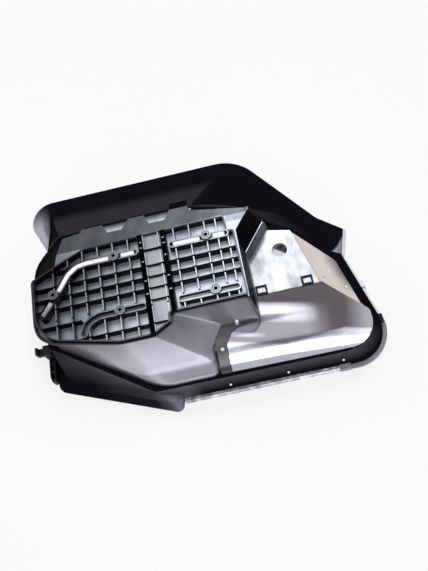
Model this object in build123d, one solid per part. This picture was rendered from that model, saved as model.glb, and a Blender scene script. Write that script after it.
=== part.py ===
from build123d import *
import os

# Moulded plastic housing: a ribbed tub, closed side up, nested in a frame whose flared lip
# rests on the ground. X runs along the long ribs, Y away from the near rim, Z up.
# The origin is at the middle of the footprint, on the ground. Millimetres.

# Heights
SEAM_Z = 42.0          # top of the frame, where the upper mouldings meet it
SEAT_Z = 39.5          # rabbet that the upper mouldings sit on
PLATE_Z = 45.0         # top of the cover plate
CREASE_Z = 56.0        # soft crease low on the near wall
FLOOR_Z = 89.0         # deck floor between the ribs
WALL_TOP_Z = 97.5      # top edge of the tub's walls
RIB_Z = 99.5           # top of the ribs
COLLAR_Z = 101.0       # top of the slot collars
BOSS_Z = 104.0         # top of the bosses
FRAME_TOP_Z = 88.0     # top of the frame behind the tub
FOOT_Z = 18.0          # where the frame's wall turns out into its lip

# Thicknesses
WALL = 2.5
RIB = 1.3
RIM = 1.8
LIP = 2.6

# The bevel behind the deck falls away from the far rib
BEVEL_Y = 27.0
BEVEL_FALL = 0.33      # mm down for each mm back

def rounded(points, radii):
    """Corners (x, y, fillet radius) of an outline."""
    return [(x, y, r) for (x, y), r in zip(points, radii)]


# Outlines, counter-clockwise from the far left corner. The outlines of one wall share their
# fillet radii, and sides that stay parallel from height to height, so that the wall is plane there.
FRAME_RADII = [10, 45, 12, 8, 0, 40, 2, 2, 12, 12, 60]
LIP_RADII = [30] + FRAME_RADII[1:]
FRAME_LIP = rounded([
    (-231, 166.5), (-189, 72), (-195.5, -110), (-45, -169.3), (-42, -154),
    (220, -154), (184.3, -16), (196, 24), (166, 49), (121, 110.5), (80, 166.5),
], LIP_RADII)
FRAME_FOOT = rounded([
    (-188, 133), (-176, 72), (-182, -100), (-66, -145.7), (-42, -153),
    (218, -153), (182.8, -17), (174, -8), (148, 24), (110, 75.9), (68.3, 133),
], FRAME_RADII)
FRAME_SEAM = rounded([
    (-176, 107), (-188.5, 40), (-192.2, -66), (-68, -149.5), (-20, -149.5),
    (204, -149.5), (174.1, -34), (170, -29), (131, 20), (106, 35.3), (53.5, 107),
], FRAME_RADII)
FRAME_TOP = rounded([
    (-152, 57), (-186, 20), (-188.1, -40), (-60, -140), (-10, -140),
    (190, -140), (172.5, -72), (164, -64), (92, 20), (85, 36), (14, 57),
], FRAME_RADII)
TUB_RADII = [6, 28, 35, 1, 2, 4, 2, 3, 2, 2, 6, 6]
TUB_SEAM = rounded([
    (-187, 4), (-187, -65), (-60, -146), (12, -146), (12, -118),
    (30, -92), (70, -92), (70, -14), (101, 24.75), (101, 60), (-147, 60), (-157, 15),
], TUB_RADII)
TUB_CREASE = rounded([
    (-188, 3), (-188, -62), (-80, -130.9), (10, -130.9), (10, -118),
    (22, -90), (68.8, -90), (68.8, -10.5), (97.6, 25.5), (97.6, 59), (-148, 59), (-158, 14),
], TUB_RADII)
TUB_TOP = rounded([
    (-188, -1), (-188, -82), (-89, -104), (-49, -104), (-27, -92),
    (-26, -81.5), (63, -81.5), (63, 6), (82, 30), (82, 55), (-148, 55), (-158, 10),
], TUB_RADII)
DECK = [
    (-185.5, -2.5, 5), (-185.5, -78.5, 38), (-89, -101.5, 24), (-49.5, -101.5, 3), (-29.5, -90.5, 2),
    (-28.5, -79.5, 2), (62.5, -78.5, 2), (61, 6, 3), (53.5, 7, 2), (52.5, 28, 5), (-120, 26, 30), (-160, 9.5, 20),
]
BEVEL = [
    (-158, 9, 0), (-120, 24, 0), (52, 26, 0), (53, 5, 0), (61, 4, 0), (80, 33, 0),
    (14, 50, 0), (10, 59, 0), (-12, 59, 0), (-18, 44, 0), (-38, 44, 0), (-44, 60, 0), (-64, 60, 0),
    (-72, 45, 0), (-90, 45, 0), (-97, 60, 0), (-122, 60, 0), (-126, 54.5, 0), (-147, 52, 0),
]
# Notches between the merlons: near corners first, far corners on the wall outside
NOTCHES = [
    [(-90, 45, 0), (-72, 45, 0), (-60.5, 67, 0), (-100.5, 67, 0)],
    [(-38, 44, 0), (-18, 44, 0), (-8.5, 67, 0), (-47.5, 67, 0)],
]
CHUTE = [(38, 85.6), (53, 84.8), (67, 79.5)]    # side view of a notch's floor: (y, height)
POCKET = 1.3
POCKETS = [(-12, 10, 60, 79), (-62, -46, 61, 66), (-120, -101, 61, 66)]
SIDE_SHELL = [(12, -59.5, 0), (12, -146, 0), (194, -146, 30), (194, -107, 14), (149, -59.5, 0)]
COVER_PLATE = [(60, -59.5, 0), (146, -59.5, 0), (127, 17, 0), (101, 23.5, 0), (60, 23.5, 0)]
FLOOR_PANEL = [(146, -59.5, 0), (149, -59.5, 0), (194, -107, 0), (186, -95, 4), (171, -36, 2), (168, -32, 0), (127, 17, 0)]

SEAT_MOUTH = [
    (-181, 60, 0), (-181, -59, 22), (-57, -139, 30), (185, -139, 24), (185, -110, 10), (164, -80, 6),
    (164, -36, 4), (124, 11, 4), (97, 18, 4), (97, 60, 0),
]

PARTING = [
    (12, -146, 0), (12, -85, 0), (66, -85, 0), (66, -91.5, 1), (40, -96, 8), (33, -101, 6),
    (25, -115, 8), (25, -146, 0),
]
STRIP_T = 1.2
CREST = 12.5           # height of the side shell's crown above its flat, at the parting strip
CROWN_X0 = -10.0
CROWN_TILT = 3.6       # degrees down to the right

# Deck ribs
COLUMN_X0, COLUMN_PITCH, COLUMNS = -159.5, 18.75, 11
END_COLUMNS = (41.5, 53.0)
ROWS_Y = (-16.0, -30.5, -44.8)
CHANNEL_X = (-50.5, -23.0)
CHANNEL_W = 3.2
STRIP_Z = 96.5
BRIDGES_Y = [(18, 10.5, -8, -33.5, -50), (18.5, 11, -5, -32, -49.5)]
SLOT_Y = (5.0, -65.5)
SLOT_W = 6.0
COLLAR = 1.6
GROOVE = 1.2
LEDGE_Z = 65.0
INSERT_Z = (88.0, 95.0)

HOLE_R = 9.2

# Small fasteners, where their heads stand
RIM_PINS = [(18, 24), (87, 24), (152, 26)]
TRIM_PINS = [(41, -91.5), (19, -121)]
FLOOR_PINS = [(154, -52), (175, -72)]
BOSS_R, BORE_R = 6.0, 2.4
BOSSES = [(-83.5, 5), (-160, -28), (28, 5), (28, -65), (-83.5, -65)]


def sketch(corners):
    """Closed outline from (x, y, fillet radius) corners."""
    return make_face(FilletPolyline(*[(x, y) for x, y, _ in corners], radius=[r for _, _, r in corners], close=True))


def prism(corners, z0, z1):
    return extrude(Pos(0, 0, z0) * sketch(corners), z1 - z0)


def skin(levels):
    """Ruled solid through outlines with the same corners, as (height, corners) pairs."""
    return loft([Pos(0, 0, z) * sketch(corners) for z, corners in levels], ruled=True)


def blend(a, b, s):
    """Outline a fraction s of the way from a to b."""
    return [tuple(p + s * (q - p) for p, q in zip(ca, cb)) for ca, cb in zip(a, b)]


def inset(corners, d):
    """Outline moved in by d, with mitred corners and the fillets kept concentric."""
    out, n = [], len(corners)
    for i in range(n):
        (x0, y0, _), (x1, y1, r), (x2, y2, _) = corners[i - 1], corners[i], corners[(i + 1) % n]
        a, b = Vector(x1 - x0, y1 - y0).normalized(), Vector(x2 - x1, y2 - y1).normalized()
        na, nb = Vector(-a.Y, a.X), Vector(-b.Y, b.X)
        m = (na + nb) * (d / (1 + na.dot(nb)))
        turn = a.X * b.Y - a.Y * b.X
        radius = r and max(0.4, r - d if turn > 0 else r + d)
        out.append((x1 + m.X, y1 + m.Y, radius))
    return out


def block(x0, x1, y0, y1, z0, z1):
    return Pos((x0 + x1) / 2, (y0 + y1) / 2, (z0 + z1) / 2) * Box(x1 - x0, y1 - y0, z1 - z0)


def side_prism(corners, x0, x1):
    """Side-view outline of (y, z) corners, extruded along X."""
    return Pos(x0, 0, 0) * extrude(Plane.YZ * make_face(Polyline(*corners, close=True)), x1 - x0)


def below_bevel(drop=0.0):
    """Everything under the plane of the far bevel, lowered by drop."""
    y = 120.0
    fall = (y - BEVEL_Y) * BEVEL_FALL
    top = WALL_TOP_Z - drop
    return side_prism([(-250, 0), (y, 0), (y, top - fall), (BEVEL_Y, top), (-250, top)], -300, 300)


def thick_line(points, width, z0, z1):
    """Track of round-ended width along a run of points."""
    out = None
    for (x0, y0), (x1, y1) in zip(points, points[1:]):
        run = Vector(x1 - x0, y1 - y0)
        angle = Vector(1, 0).get_signed_angle(run, Vector(0, 0, 1))
        leg = Pos((x0 + x1) / 2, (y0 + y1) / 2) * Rot(0, 0, angle) * SlotCenterToCenter(run.length, width)
        out = leg if out is None else out + leg
    return extrude(Pos(0, 0, z0) * out, z1 - z0)


def tub_solid(top=WALL_TOP_Z):
    """The tub's outer form, filled."""
    body = skin([(SEAT_Z, TUB_SEAM), (SEAM_Z, TUB_SEAM), (CREASE_Z, TUB_CREASE), (top, TUB_TOP)])
    return body & below_bevel()


def tub_core():
    """The tub's outer form, as far as its walls reach."""
    return tub_solid() & (block(-300, 300, -300, 9, 0, 120) + block(60, 300, -100, 34, 0, 120))


def tub_void():
    levels = [(SEAT_Z, TUB_SEAM), (SEAM_Z, TUB_SEAM), (CREASE_Z, TUB_CREASE), (WALL_TOP_Z, TUB_TOP)]
    return skin([(z, inset(corners, WALL)) for z, corners in levels])


def frame_solid(grow=0.0):
    """The frame's outer form with its flared lip, filled."""
    levels = [(0, FRAME_LIP), (LIP, FRAME_LIP), (6.5, blend(FRAME_FOOT, FRAME_LIP, 0.42)),
              (FOOT_Z, FRAME_FOOT), (SEAM_Z, FRAME_SEAM), (FRAME_TOP_Z, FRAME_TOP)]
    return skin([(z, inset(corners, -grow) if grow else corners) for z, corners in levels])


def frame_void():
    levels = [(0, blend(FRAME_FOOT, FRAME_LIP, 0.7)), (FOOT_Z - 3, FRAME_FOOT), (SEAM_Z, FRAME_SEAM),
              (FRAME_TOP_Z, FRAME_TOP)]
    return skin([(z, inset(corners, WALL)) for z, corners in levels])


def crown_solid(lift=0.0):
    """Block whose top is the side shell's surface: a crown that sinks into a flat towards the far end."""
    low, foot = PLATE_Z + lift, 20.0
    near = (-150, low - 4)
    turn, edge = (-84, low + CREST / 2), (-138, low + 0.7 * CREST)
    rise = TangentArc((-52, low), turn, tangent=(-1, 0))
    fall = TangentArc(turn, edge, tangent=rise % 1)
    lip = TangentArc(edge, near, tangent=fall % 1)
    under = Polyline(near, (-150, foot), (-52, foot), (-52, low))
    crown = Plane.YZ * make_face([rise, fall, lip, under])
    flat = side_prism([(-40, low), (-140, low), near, (-150, foot), (-40, foot)], CROWN_X0, 210)
    return flat + Pos(CROWN_X0, 0, 0) * Rot(0, CROWN_TILT, 0) * extrude(crown, 230)


def chute(rise, x0, x1):
    """Curved sheet under a notch's floor, or with rise everything above that floor."""
    floor = ThreePointArc(*CHUTE)
    ends = [CHUTE[-1], CHUTE[0]]
    shift = rise or -WALL
    side = Polyline(ends[0], (ends[0][0], ends[0][1] + shift), (ends[1][0], ends[1][1] + shift), ends[1])
    return Pos(x0, 0, 0) * extrude(Plane.YZ * make_face([floor, side]), x1 - x0)


def notch_cuts():
    """Space above the notches' floors."""
    return [prism(notch, 70, 120) & chute(40, -110, 10) for notch in NOTCHES]


def pocket(x0, x1, y0, y1):
    """Shallow recess in the frame's far wall."""
    slope = (FRAME_TOP_Z - SEAM_Z) / (FRAME_SEAM[0][1] - FRAME_TOP[0][1])
    z0, z1 = (FRAME_TOP_Z - (y - FRAME_TOP[0][1]) * slope for y in (y0, y1))
    return side_prism([(y0, z0 - POCKET), (y1, z1 - POCKET), (y1, z1 + 9), (y0, z0 + 9)], x0, x1)


def outer_frame():
    """Frame that everything else sits in: flared lip, walls, rabbet for the upper mouldings, far ledge."""
    solid = frame_solid()
    shell = solid - frame_void()
    rabbet = solid & block(-300, 300, -300, 60, SEAT_Z - 3, SEAM_Z)
    rabbet -= prism(SEAT_MOUTH, 0, 100)
    frame = shell + rabbet
    for corners in (TUB_SEAM, SIDE_SHELL):
        near = prism(inset(corners, -GROOVE), SEAT_Z, 120)
        frame -= near & block(-300, 300, -300, 8, 0, 120)
    frame -= prism(COVER_PLATE, SEAM_Z, 120) + prism(FLOOR_PANEL, SEAT_Z, 120)
    frame -= side_prism([(-300, SEAM_Z), (-25, SEAM_Z), (15, 120), (-300, 120)], -300, 300)
    mouth = [(104, 29, 0), (184, 89, 0), (300, 89, 0), (300, -200, 0), (60, -200, 0), (60, -60, 0)]
    frame -= loft([Pos(19 * s, -7 * s, SEAM_Z - 46 * s) * sketch(mouth) for s in (0, -1.2)], ruled=True)
    frame -= prism(BEVEL, 60, 120)
    for cut in notch_cuts() + [pocket(*place) for place in POCKETS]:
        frame -= cut
    return frame - chutes() - tub_core()


def tub_wall():
    return tub_solid() - tub_void()


def right_end():
    """Region of the tub's right end, cut off by a mitre through its near corner."""
    return prism([(57, -75, 0), (75, -93, 0), (200, -93, 0), (200, 34, 0), (57, 34, 0)], 0, 120)


def near_shell():
    """Satin wall of the tub: left end and near side."""
    return (tub_wall() & block(-300, 100, -300, 9, 0, 120)) - right_end()


def chutes():
    """Floors of the two notches."""
    sheets = []
    for notch in NOTCHES:
        outline = inset(notch, -WALL)
        sheets.append(prism(outline, 70, 100) & chute(0, -110, 10) & block(-300, 300, 0, 61, 0, 120))
    return sheets[0] + sheets[1]


def bevel():
    """Sloping band behind the deck, with merlons and notches along its far edge."""
    solid = prism(BEVEL, 78, 100) & below_bevel()
    sheet = solid - (prism(inset(BEVEL, WALL), 70, 100) & below_bevel(WALL))
    return sheet + (chutes() & below_bevel())


def slot_tracks():
    """Centre lines of the four slots."""
    y_far, y_near = SLOT_Y
    return [
        [(-59, y_far), (-118, y_far), (-130, y_far - 2), (-141, y_far - 10), (-152, y_far - 26), (-175, y_far - 56)],
        [(-57, y_near), (-108, y_near), (-117, y_near - 3), (-124, y_near - 8), (-128, y_near - 18)],
        [(-13, y_far - 1), (50, y_far - 2)],
        [(-12, y_near - 1), (52, y_near - 1)],
    ]


def slot_cut(track, z0, z1):
    """Opening of a slot between two heights, leaving the bosses on it standing."""
    cut = thick_line(track, SLOT_W, z0, z1)
    for x, y in BOSSES:
        cut -= Pos(x, y, 90) * Cylinder(BOSS_R, 80)
    return cut


def slot_inserts():
    """Fillers that close the two near slots a little below their collars."""
    fillers = [slot_cut(track, INSERT_Z[0], INSERT_Z[1]) for track in slot_tracks()[1::2]]
    return Compound([solid for filler in fillers for solid in filler.solids()])


def deck():
    """Ribbed top of the tub: floor, rim, rib grid, channels, collared slots and bosses."""
    inside = prism(inset(DECK, RIM), 60, 120)
    plate = prism(DECK, FLOOR_Z - WALL, FLOOR_Z)
    rim = prism(DECK, FLOOR_Z - WALL, RIB_Z + 0.5) - inside
    ribs = None
    columns = [COLUMN_X0 + COLUMN_PITCH * k for k in range(COLUMNS)] + list(END_COLUMNS)
    for x in columns:
        rib = block(x - RIB / 2, x + RIB / 2, -120, 40, FLOOR_Z - 1, RIB_Z)
        ribs = rib if ribs is None else ribs + rib
    for y in ROWS_Y:
        ribs += block(-200, 70, y - RIB / 2, y + RIB / 2, FLOOR_Z - 1, RIB_Z)
    ribs += block(-140, -23, -88.5 - RIB / 2, -88.5 + RIB / 2, FLOOR_Z - 1, RIB_Z)
    ribs += block(-50, -20, SLOT_Y[0] - RIB / 2, SLOT_Y[0] + RIB / 2, FLOOR_Z - 1, RIB_Z)
    ribs += block(-50, -20, -60 - RIB / 2, -60 + RIB / 2, FLOOR_Z - 1, RIB_Z)
    ribs += block(-178, -130, -66 - RIB / 2, -66 + RIB / 2, FLOOR_Z - 1, RIB_Z)
    ribs += block(-170, -140, 3 - RIB / 2, 3 + RIB / 2, FLOOR_Z - 1, RIB_Z)
    strip = block(CHANNEL_X[0], CHANNEL_X[1], -120, 40, FLOOR_Z - 1, STRIP_Z)
    body = plate + ((ribs + strip) & inside)
    for x in CHANNEL_X:
        walls = block(x - CHANNEL_W / 2 - RIB, x + CHANNEL_W / 2 + RIB, -120, 40, FLOOR_Z - 1, RIB_Z) & inside
        body = body + walls - block(x - CHANNEL_W / 2, x + CHANNEL_W / 2, -98, 24, FLOOR_Z, 120)
    body += rim
    for x, bridges in zip(CHANNEL_X, BRIDGES_Y):
        for y in bridges:
            body += block(x - CHANNEL_W / 2, x + CHANNEL_W / 2, y - RIB / 2, y + RIB / 2, FLOOR_Z - 1, STRIP_Z)
    tracks = slot_tracks()
    for track in tracks:
        body += thick_line(track, SLOT_W + 2 * COLLAR, FLOOR_Z - WALL, COLLAR_Z)
    for x, y in BOSSES:
        body += Pos(x, y, (FLOOR_Z - WALL + BOSS_Z) / 2) * Cylinder(BOSS_R, BOSS_Z - FLOOR_Z + WALL)
    for track in tracks:
        body -= slot_cut(track, 60, 120)
    for x, y in BOSSES:
        body -= Pos(x, y, BOSS_Z) * Cylinder(BORE_R, 28)
    return body


def ribbed_tub():
    ledge = thick_line([(69, -8), (94.5, 25)], 3.2, LEDGE_Z - 1.5, LEDGE_Z)
    end = (tub_wall() + (ledge - tub_solid())) & right_end()
    return deck() + bevel() + end - near_shell()


def cover_plate():
    """Plate at the foot of the tub's right end, with a D-shaped hole in a short collar."""
    plate = prism(COVER_PLATE, SEAM_Z, PLATE_Z)
    hole = Pos(109, -6.5, 0)
    collar = Pos(0, 0, PLATE_Z - 6) * Cylinder(HOLE_R + 2.4, 12)
    ramp = make_face(Polyline((9.2, 42), (3.7, 33), (20, 33), (20, 42), close=True))
    flat = Rot(0, 0, 53) * Pos(0, 12, 0) * extrude(Plane.XZ * ramp, 24)
    plate += hole * collar
    plate -= hole * (Pos(0, 0, PLATE_Z - 6) * Cylinder(HOLE_R, 30) - flat)
    for x in (77, 132.5):
        plate += block(x - 4, x + 4, -57.5, -52.5, PLATE_Z - 1, PLATE_Z + 1.6)
    return plate - tub_core()


def floor_panel():
    return prism(FLOOR_PANEL, SEAT_Z, SEAM_Z)


def snap_loop(x):
    """Flat U-shaped loop that reaches over the cover plate and round its catch."""
    outer = block(x - 7, x + 7, -60, -48, PLATE_Z, PLATE_Z + 2)
    return outer - block(x - 4.2, x + 4.2, -58.5, -51, 0, 60)


def side_shell():
    """Glossy crowned panel at the near right."""
    solid = crown_solid() & prism(SIDE_SHELL, SEAT_Z, 100)
    void = crown_solid(-WALL) & prism(inset(SIDE_SHELL, WALL), SEAT_Z, 100)
    shell = solid - void
    for x in (77, 132.5):
        shell += snap_loop(x)
    return shell - tub_core() - prism(FLOOR_PANEL, 0, SEAM_Z)


def parting_strip():
    """Thin trim along the joint between the tub's near wall and the side shell, and on down the frame."""
    on_shell = crown_solid(STRIP_T) & prism(PARTING, SEAM_Z, 100)
    on_shell -= crown_solid() + tub_core()
    return on_shell


def band(x0, x1, y0, y1, z0, z1, grow):
    """Strip of the given thickness lying on the frame's outer wall."""
    piece = (frame_solid(grow) - frame_solid()) & block(x0, x1, y0, y1, z0, z1)
    return piece


def near_rim_strip():
    section = Polyline((-154, 0), (-158.5, 0), (-158.5, 4), (-157, 7), (-152, 7), (-152, 0), close=True)
    strip = Pos(-41, 0, 0) * extrude(Plane.YZ * make_face(section), 188)
    strip -= block(-41, 146, -160, -157.6, 2.6, 3.6)
    return strip - frame_solid()


def corner_rim_strip():
    strip = prism(inset(FRAME_LIP, -5), 0, 4) - prism(FRAME_LIP, 0, 4)
    strip &= block(160, 300, -200, -108, 0, 10)
    return strip


def right_rail():
    """Bright strip along the foot of the right wall."""
    rail = band(150, 260, -104, -24, 5, 12, 3.5)
    return rail - block(150, 260, -66, -56, 0, 20)


def rim_end_block():
    """Block where the near strip meets the corner strip."""
    return block(147.2, 159.8, -159.5, -150, 0, 9) - frame_solid()


def corner_cap():
    return band(150, 260, -112, -104.2, 4.2, 17, 4)


def rail_clip():
    return band(150, 260, -65.5, -56.5, 4, 15, 5.5)


def hood_end_strip():
    """Narrow strip closing the cut end of the flared lip."""
    path = [(198.5, 22), (195.5, 4), (190.5, -15)]
    return thick_line(path, 2.4, 0, 12) - frame_solid()


def hex_head(radius, height):
    """Small six-sided head along Z, centred on the origin."""
    return extrude(Pos(0, 0, -height / 2) * RegularPolygon(radius, 6), height)


def rim_pins():
    """Heads along the frame's near wall, given by x and height."""
    heads = [Pos(x, -153, z) * Rot(90, 0, 0) * hex_head(1.9, 5) - frame_solid() for x, z in RIM_PINS]
    return Compound([solid for head in heads for solid in head.solids()])


def trim_pins():
    under = crown_solid(STRIP_T) + tub_core()
    heads = [(Pos(x, y, 50) * hex_head(2.3, 40)) & crown_solid(STRIP_T + 1) - under for x, y in TRIM_PINS]
    return Compound([solid for head in heads for solid in head.solids()])


def floor_pins():
    return Compound([Pos(x, y, SEAM_Z + 0.8) * hex_head(1.9, 1.6) for x, y in FLOOR_PINS])


def hook_clip():
    """Hooked snap at the left end."""
    arm = block(-201, -190.3, -72, -60, 20, 38)
    hook = Pos(-204, -66, 31) * Box(10, 9, 6)
    tip = Pos(-208.5, -66, 35) * Box(3, 9, 10)
    return arm + hook + tip - frame_solid() - tub_core()


def foot_bracket():
    """Ribbed foot against the left edge of the lip."""
    x0, y0, _ = FRAME_LIP[1]
    x1, y1, _ = FRAME_LIP[2]
    on_lip = [(x0 + (x1 - x0) * (y - y0) / (y1 - y0), y) for y in (-62, -100)]
    outline = Polyline(on_lip[0], (-202, -62), (-202, -93), (-200, -100), on_lip[1], close=True)
    body = extrude(make_face(outline), 14)
    for y in (-71, -82, -92.5):
        body -= block(-200.5, -196.5, y - 4, y + 4, 3, 20)
    return body


def build():
    os.makedirs("parts", exist_ok=True)
    nodes = {
        "outer_frame": outer_frame(), "near_shell": near_shell(), "ribbed_tub": ribbed_tub(),
        "cover_plate": cover_plate(), "floor_panel": floor_panel(), "side_shell": side_shell(),
        "parting_strip": parting_strip(), "near_rim_strip": near_rim_strip(),
        "corner_rim_strip": corner_rim_strip(), "right_rail": right_rail(),
        "rim_end_block": rim_end_block(), "corner_cap": corner_cap(), "rail_clip": rail_clip(),
        "hood_end_strip": hood_end_strip(), "hook_clip": hook_clip(), "foot_bracket": foot_bracket(),
        "slot_inserts": slot_inserts(), "rim_pins": rim_pins(), "trim_pins": trim_pins(),
        "floor_pins": floor_pins(),
    }
    for name, shape in nodes.items():
        print(name, round(shape.volume), len(shape.solids()), shape.bounding_box())
        export_step(shape, f"parts/{name}.step")


build()
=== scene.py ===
import math
from types import SimpleNamespace

import bmesh
import bpy
from mathutils import Matrix, Vector


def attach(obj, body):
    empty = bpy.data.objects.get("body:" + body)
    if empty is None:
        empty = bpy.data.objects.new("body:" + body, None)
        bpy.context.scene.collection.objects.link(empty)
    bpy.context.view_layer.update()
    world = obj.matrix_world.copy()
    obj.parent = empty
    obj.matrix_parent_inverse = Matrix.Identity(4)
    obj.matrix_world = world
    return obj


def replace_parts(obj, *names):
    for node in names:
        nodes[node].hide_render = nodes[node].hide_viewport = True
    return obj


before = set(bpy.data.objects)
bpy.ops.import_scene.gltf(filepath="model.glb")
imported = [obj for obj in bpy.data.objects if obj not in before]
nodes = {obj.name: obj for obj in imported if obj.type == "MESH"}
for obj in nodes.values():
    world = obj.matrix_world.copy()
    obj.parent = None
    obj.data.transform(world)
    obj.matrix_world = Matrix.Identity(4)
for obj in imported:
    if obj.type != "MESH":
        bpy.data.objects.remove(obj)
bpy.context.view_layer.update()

# ---------------------------------------------------------------- camera

EYE = Vector((0.0833, -0.3925, 0.8136))
RIGHT = Vector((0.97311, -0.16903, -0.15651))
UP = Vector((0.21877, 0.89089, 0.39807))
BACK = RIGHT.cross(UP).normalized()
SENSOR = 36.0
FOCAL_PIXELS, FRAME_PIXELS = 700.0, 571.0
LENS = FOCAL_PIXELS * SENSOR / FRAME_PIXELS


def make_camera():
    data = bpy.data.cameras.new("studio_camera")
    data.sensor_fit = "VERTICAL"
    data.sensor_height = SENSOR
    data.lens = LENS
    camera = bpy.data.objects.new("studio_camera", data)
    bpy.context.scene.collection.objects.link(camera)
    turn = Matrix((RIGHT, UP, BACK)).transposed().to_4x4()
    camera.matrix_world = Matrix.Translation(EYE) @ turn
    bpy.context.scene.camera = camera


# ---------------------------------------------------------------- shader maths

# outputs of Blender's nodes, by their place on the node
OBJECT_PLACE, SURFACE_NORMAL, MIXED_COLOUR = 3, 1, 2
CAMERA_RAY, GLOSSY_RAY, THROUGH_RAY = 0, 3, 6


class Wire:
    """A node socket in a tree. Arithmetic on it adds Math nodes."""

    def __init__(self, tree, socket=None):
        self.tree, self.socket = tree, socket

    def node(self, kind, settings=None, values=None, out=0):
        """One node: its settings first, then its sockets' values or wires. Gives the wire of one output."""
        made = self.tree.nodes.new(kind)
        for name, value in (settings or {}).items():
            if name == "stops":
                ramp = made.color_ramp.elements
                while len(ramp) < len(value):
                    ramp.new(0.5)
                for element, (position, level) in zip(ramp, value):
                    element.position = position
                    element.color = (level, level, level, 1)
            else:
                setattr(made, name, value)
        for name, value in (values or {}).items():
            if isinstance(value, Wire):
                self.tree.links.new(value.socket, made.inputs[name])
            else:
                made.inputs[name].default_value = value
        return Wire(self.tree, made.outputs[out] if made.outputs else None)

    def math(self, operation, *terms):
        return self.node("ShaderNodeMath", {"operation": operation}, dict(enumerate(terms)))

    def __add__(self, other):
        return self.math("ADD", self, other)

    def __sub__(self, other):
        return self.math("SUBTRACT", self, other)

    def __rsub__(self, other):
        return self.math("SUBTRACT", other, self)

    def __mul__(self, other):
        return self.math("MULTIPLY", self, other)

    def __truediv__(self, other):
        return self.math("DIVIDE", self, other)

    __radd__, __rmul__ = __add__, __mul__

    def root(self):
        return self.math("SQRT", self)

    def magnitude(self):
        return self.math("ABSOLUTE", self)

    def clamped(self):
        return self.node("ShaderNodeClamp", None, {"Value": self})

    def blend(self, a, b):
        """Colour a where this is 0, b where it is 1."""
        return self.node("ShaderNodeMix", {"data_type": "RGBA"}, {0: self, 6: a, 7: b}, out=MIXED_COLOUR)


def rgb(r, g, b):
    return (r, g, b, 1.0)


def new_tree(name):
    material = bpy.data.materials.new(name)
    material.use_nodes = True
    material.node_tree.nodes.clear()
    return material, Wire(material.node_tree)


def noise(w, where, scale, detail=2.0, rough=0.5):
    return w.node("ShaderNodeTexNoise", None,
                  {"Vector": where, "Scale": scale, "Detail": detail, "Roughness": rough})


def flow_marks(w, where, stretch, scale, detail):
    """Noise drawn out along the way the plastic ran into the mould."""
    drawn = w.node("ShaderNodeMapping", None, {"Vector": where, "Scale": stretch})
    return noise(w, drawn, scale, detail, 0.6)


def contrast(w, level, dark, bright):
    """Black up to dark, white from bright."""
    return w.node("ShaderNodeValToRGB", {"stops": [(dark, 0.0), (bright, 1.0)]}, {0: level})


def centred(mottling):
    """Noise runs from 0 to 1: this runs as far below 0 as above it."""
    return mottling - 0.5


def object_place(w):
    return w.node("ShaderNodeTexCoord", out=OBJECT_PLACE)


def relief(w, height):
    """Bump whose height is given in millimetres."""
    return w.node("ShaderNodeBump", None, {"Strength": 1.0, "Distance": 0.001, "Height": height})


def cover(w, values):
    """Closes a material with the shader that these values make."""
    shader = w.node("ShaderNodeBsdfPrincipled", None, values)
    w.node("ShaderNodeOutputMaterial", None, {"Surface": shader})


# noise as (marks in a metre, detail, roughness), and how flow marks are drawn out in x, y and z
TRIM = SimpleNamespace(patches=(22.0, 3.0), wear=(140.0, 4.0, 0.6), grain=(1400.0, 2.0),
                       stretch=(0.35, 2.2, 1.0), flow=(30.0, 4.0), contrast=(0.35, 0.65))
SHELL = SimpleNamespace(blotch=(3.0, 0.55), wear=(90.0, 3.0), grain=(900.0, 2.0), grain_height=0.02,
                        stretch=(1.6, 0.5, 1.0), flow=(60.0, 3.0), contrast=(0.38, 0.62),
                        blotch_share=0.65, flow_share=0.35, metal_from=(0.0, 0.2))
# The dark colour on the next line and the entries from wall_slope on lay a painted shade on the beige floor along the
# right wall.
BEIGE = SimpleNamespace(cloud=(30.0, 4.0, 0.6), fine=(160.0, 3.0), low=(0.58, 0.51, 0.46), high=(0.76, 0.69, 0.65),
                        painted_shade=(0.03, 0.03, 0.035), roughness=0.42, wear=0.1, cloud_height=0.1, fine_height=0.02,
                        wall_slope=0.254, wall_at=0.1618, ragged=0.012, painted_shade_from=(-0.012, 0.0),
                        painted_shade_starts=(0.010, 0.035), painted_shade_ends=(0.062, 0.085), painted_shade_depth=0.9)
PIN_MARKS, PIN_WEAR, PIN_SHADE = (900.0, 3.0), 0.2, 0.8


def plastic(name, colour, tint, roughness, ior, wave=0.0, grain=0.0, streak=0.0, worn=0.0, shine=0.5):
    """Moulded plastic: flow marks in colour and gloss, slow waviness, and the mould's own grain."""
    material, w = new_tree(name)
    where = object_place(w)
    patches, wear = noise(w, where, *TRIM.patches), noise(w, where, *TRIM.wear)
    flow = flow_marks(w, where, TRIM.stretch, *TRIM.flow)
    shade = contrast(w, (patches * 0.5 + flow * 0.5).clamped(), *TRIM.contrast)
    gloss = centred(wear) * worn + centred(flow) * streak + roughness
    values = {"Base Color": shade.blend(rgb(*colour), rgb(*tint)), "Roughness": gloss.clamped(), "IOR": ior,
              "Specular IOR Level": shine}
    if wave or grain:
        values["Normal"] = relief(w, patches * wave + noise(w, where, *TRIM.grain) * grain)
    cover(w, values)
    return material


def axes_of(w, vector):
    """The three parts of a vector."""
    parts = w.node("ShaderNodeSeparateXYZ", None, {0: vector}).socket.node.outputs
    return [Wire(w.tree, part) for part in parts]


def normal_axes(w):
    return axes_of(w, w.node("ShaderNodeNewGeometry", out=SURFACE_NORMAL))


HAIR = 0.0001       # metres; the masks' edges are a few of these wide


def step(value, low, high):
    """0 below low, 1 above high, a straight ramp between."""
    return ((value - low) / (high - low)).clamped()


def between(value, low, high, rise=HAIR, fall=HAIR):
    """1 from low to high, with a ramp just above each."""
    return step(value, low, low + rise) * (1 - step(value, high, high + fall))


def near_line(value, middle, half, soft=3 * HAIR):
    """1 within half of the middle, 0 beyond."""
    return 1 - step((value - middle).magnitude(), half, half + soft)


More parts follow.
